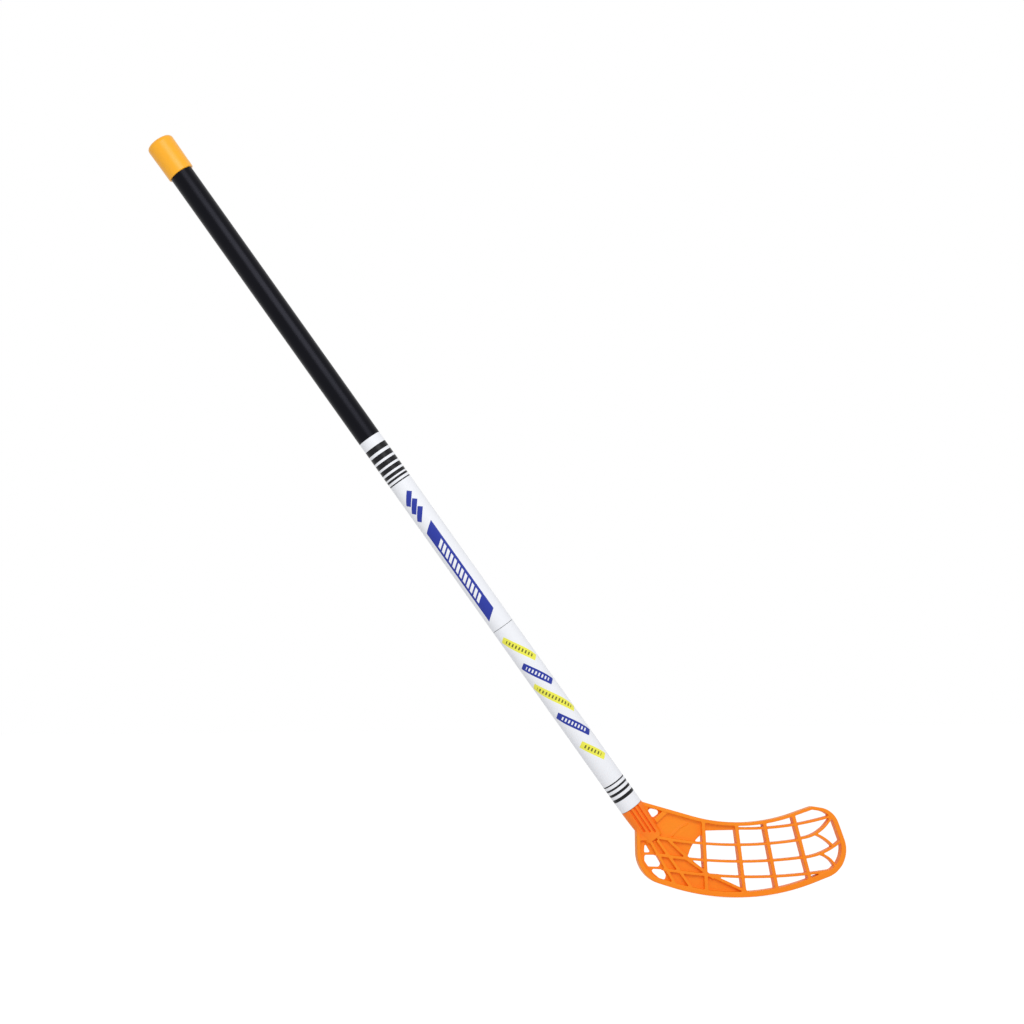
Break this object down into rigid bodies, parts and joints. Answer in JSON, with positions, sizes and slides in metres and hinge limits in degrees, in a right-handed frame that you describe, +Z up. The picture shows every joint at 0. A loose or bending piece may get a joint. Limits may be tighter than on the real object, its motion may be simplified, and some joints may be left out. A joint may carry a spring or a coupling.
{
  "type": "floorball stick",
  "caption": "Floorball stick: a hooked, ribbed open blade on a leaning tube shaft, with printed films, a grip sleeve and a slip-on end cap that pulls off.",
  "frame": {"origin": "on the shaft's axis, halfway along the grip sleeve", "axes": "+Z up, with the blade's sole lowest and the shaft leaning 54.6 degrees above the floor; +X the way the blade points; +Y the way that the toe bends"},
  "size_m": [0.829, 0.033, 0.8943],
  "materials": {
    "cap_amber": "satin moulded plastic",
    "grip_black": "matt, finely grained",
    "tube_composite": "satin fibre composite",
    "film_white": "glossy printed film",
    "blade_orange": "satin moulded plastic",
    "screw_steel": "zinc plated"
  },
  "bodies": {
    "stick": {"grip_sleeve": "grip_black", "shaft_tube": "tube_composite", "upper_print_film": "film_white", "lower_print_film": "film_white", "blade": "blade_orange", "upper_blade_screw": "screw_steel", "lower_blade_screw": "screw_steel"},
    "cap": {"end_cap": "cap_amber"}
  },
  "joints": [
    {"name": "cap_pull", "type": "slide", "parent": "stick", "child": "cap", "axis": [-0.5793, 0, 0.8151], "range_m": [0, 0.045]}
  ]
}
